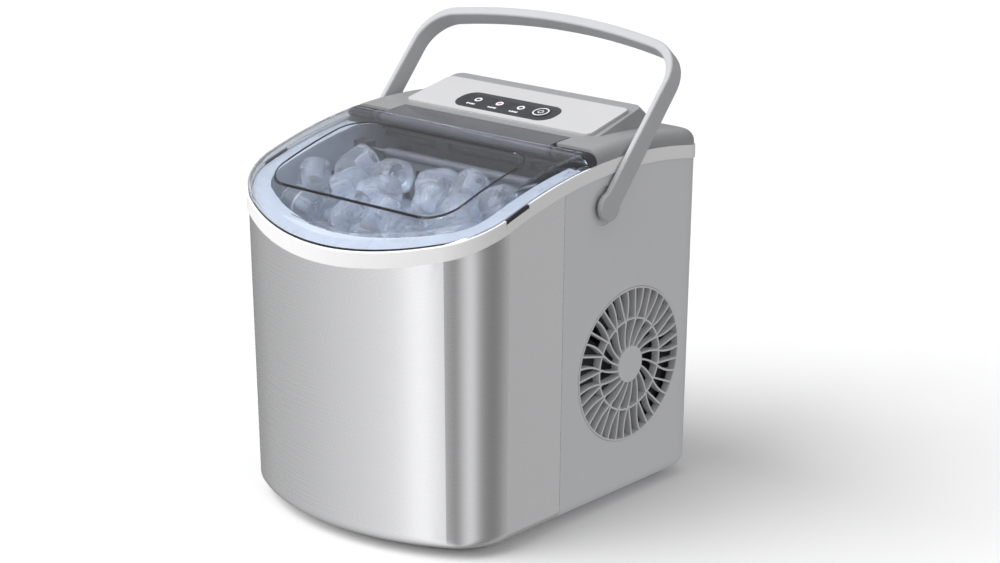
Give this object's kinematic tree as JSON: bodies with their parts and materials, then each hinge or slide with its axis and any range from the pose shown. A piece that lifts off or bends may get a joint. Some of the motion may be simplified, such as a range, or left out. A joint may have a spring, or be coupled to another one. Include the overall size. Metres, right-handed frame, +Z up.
{
  "type": "countertop ice maker",
  "caption": "Countertop ice maker with a bowed steel front, tinted hinged lid, sloping key panel, round side grille and a swing carry handle.",
  "frame": {"origin": "centre of the footprint, on the surface the feet stand on", "axes": "+Z up, the bowed front faces -Y, the grille side is +X"},
  "size_m": [0.2472, 0.2856, 0.3382],
  "materials": {
    "brushed_steel_wrap": "vertical brushed, satin",
    "grey_shell": "fine satin moulding",
    "pan_dark": "moulded",
    "rubber": "matt",
    "hose": "translucent silicone",
    "trim": "satin silver to white",
    "cover_grey": "satin",
    "panel_silver": "satin silver",
    "display_black": "gloss",
    "lamp": "frosted",
    "lid_clear": "smoky clear moulding",
    "lid_dark": "gloss",
    "handle_grey": "satin",
    "bush": "plain moulding",
    "grille_dark": "satin moulding",
    "tank_blue": "pale blue moulding",
    "basket_white": "pale grey moulding",
    "mechanism_smoke": "smoky moulding",
    "cold_metal": "nickel plated",
    "steel_part": "plain",
    "compressor_black": "gloss black shell",
    "fins": "rolled fins",
    "copper": "copper tube",
    "motor_grey": "zinc",
    "pump_black": "moulded",
    "board_green": "circuit board",
    "sensor_black": "infrared window",
    "foam": "expanded foam"
  },
  "bodies": {
    "machine": {"base_pan": "pan_dark", "bulkhead": "pan_dark", "compressor": "compressor_black", "compressor_grommets": "rubber", "condenser": "fins", "control_board": "board_green", "control_panel": "panel_silver", "cord_gland": "grille_dark", "display_lens": "display_black", "drain_tube": "hose", "evaporator_bracket": "steel_part", "evaporator_pipe": "copper", "evaporator_plate": "cold_metal", "fan_motor": "motor_grey", "fan_shroud": "grille_dark", "filter_drier": "copper", "foot_screws": "steel_part", "freezing_chamber": "tank_blue", "freezing_fingers": "cold_metal", "front_shell": "brushed_steel_wrap", "handle_pivot_pins": "steel_part", "handle_washers": "bush", "hot_gas_valve": "copper", "ice_level_sensors": "sensor_black", "indicator_lamps": "lamp", "inner_tank": "tank_blue", "insulation_foam": "foam", "power_board": "board_green", "pump_hoses": "hose", "rear_screws": "steel_part", "rear_shell": "grey_shell", "refrigerant_pipes": "copper", "rubber_feet": "rubber", "shovel_bushes": "bush", "side_grille": "grey_shell", "start_relay": "pump_black", "tank_rim": "tank_blue", "top_cover": "cover_grey", "tray_bearing": "bush", "tray_motor": "motor_grey", "trim_ring": "trim", "water_pump": "pump_black"},
    "lid": {"lid_frame": "lid_clear", "lid_window": "lid_clear", "lid_window_seal": "lid_dark", "lid_hinge_bar": "lid_dark", "lid_hinge_pins": "steel_part"},
    "handle": {"handle_bar": "handle_grey"},
    "basket": {"basket_base": "basket_white", "basket_front": "basket_white", "basket_back": "basket_white", "basket_tabs": "basket_white"},
    "tray": {"water_tray": "mechanism_smoke", "tray_shaft": "steel_part"},
    "shovel": {"ice_shovel": "mechanism_smoke", "shovel_shaft": "steel_part"},
    "fan": {"fan_rotor": "grille_dark"},
    "impeller": {"pump_impeller": "pump_black"},
    "button": {"power_button": "display_black"},
    "drain_stopper": {"drain_plug": "rubber"}
  },
  "joints": [
    {"name": "lid_hinge", "type": "hinge", "parent": "machine", "child": "lid", "pos_m": [0, 0.008, 0.2645], "axis": [-1, 0, 0], "range_deg": [0, 92]},
    {"name": "handle_swing", "type": "hinge", "parent": "machine", "child": "handle", "pos_m": [0, 0.022, 0.2295], "axis": [-1, 0, 0], "range_deg": [-36, 50]},
    {"name": "basket_lift", "type": "slide", "parent": "machine", "child": "basket", "axis": [0, 0, 1], "range_m": [0, 0.006]},
    {"name": "tray_tilt", "type": "hinge", "parent": "machine", "child": "tray", "pos_m": [0, 0.042, 0.222], "axis": [1, 0, 0], "range_deg": [0, 95]},
    {"name": "shovel_sweep", "type": "hinge", "parent": "machine", "child": "shovel", "pos_m": [0, 0.002, 0.24], "axis": [-1, 0, 0], "range_deg": [0, 34]},
    {"name": "fan_spin", "type": "hinge", "parent": "machine", "child": "fan", "pos_m": [0.095, 0.0552, 0.1051], "axis": [1, 0, 0], "continuous": true},
    {"name": "pump_spin", "type": "hinge", "parent": "machine", "child": "impeller", "pos_m": [-0.05, 0.022, 0.02], "axis": [0, 0, 1], "continuous": true},
    {"name": "power_press", "type": "slide", "parent": "machine", "child": "button", "axis": [0, 0.2135, -0.9769], "range_m": [0, 0.0008], "stiffness_N_per_m": 600},
    {"name": "drain_pull", "type": "slide", "parent": "machine", "child": "drain_stopper", "axis": [0, 1, 0], "range_m": [0, 0.008]}
  ],
  "couplings": [
    {"joint": "shovel_sweep", "follows": "tray_tilt", "ratio": 0.35}
  ]
}
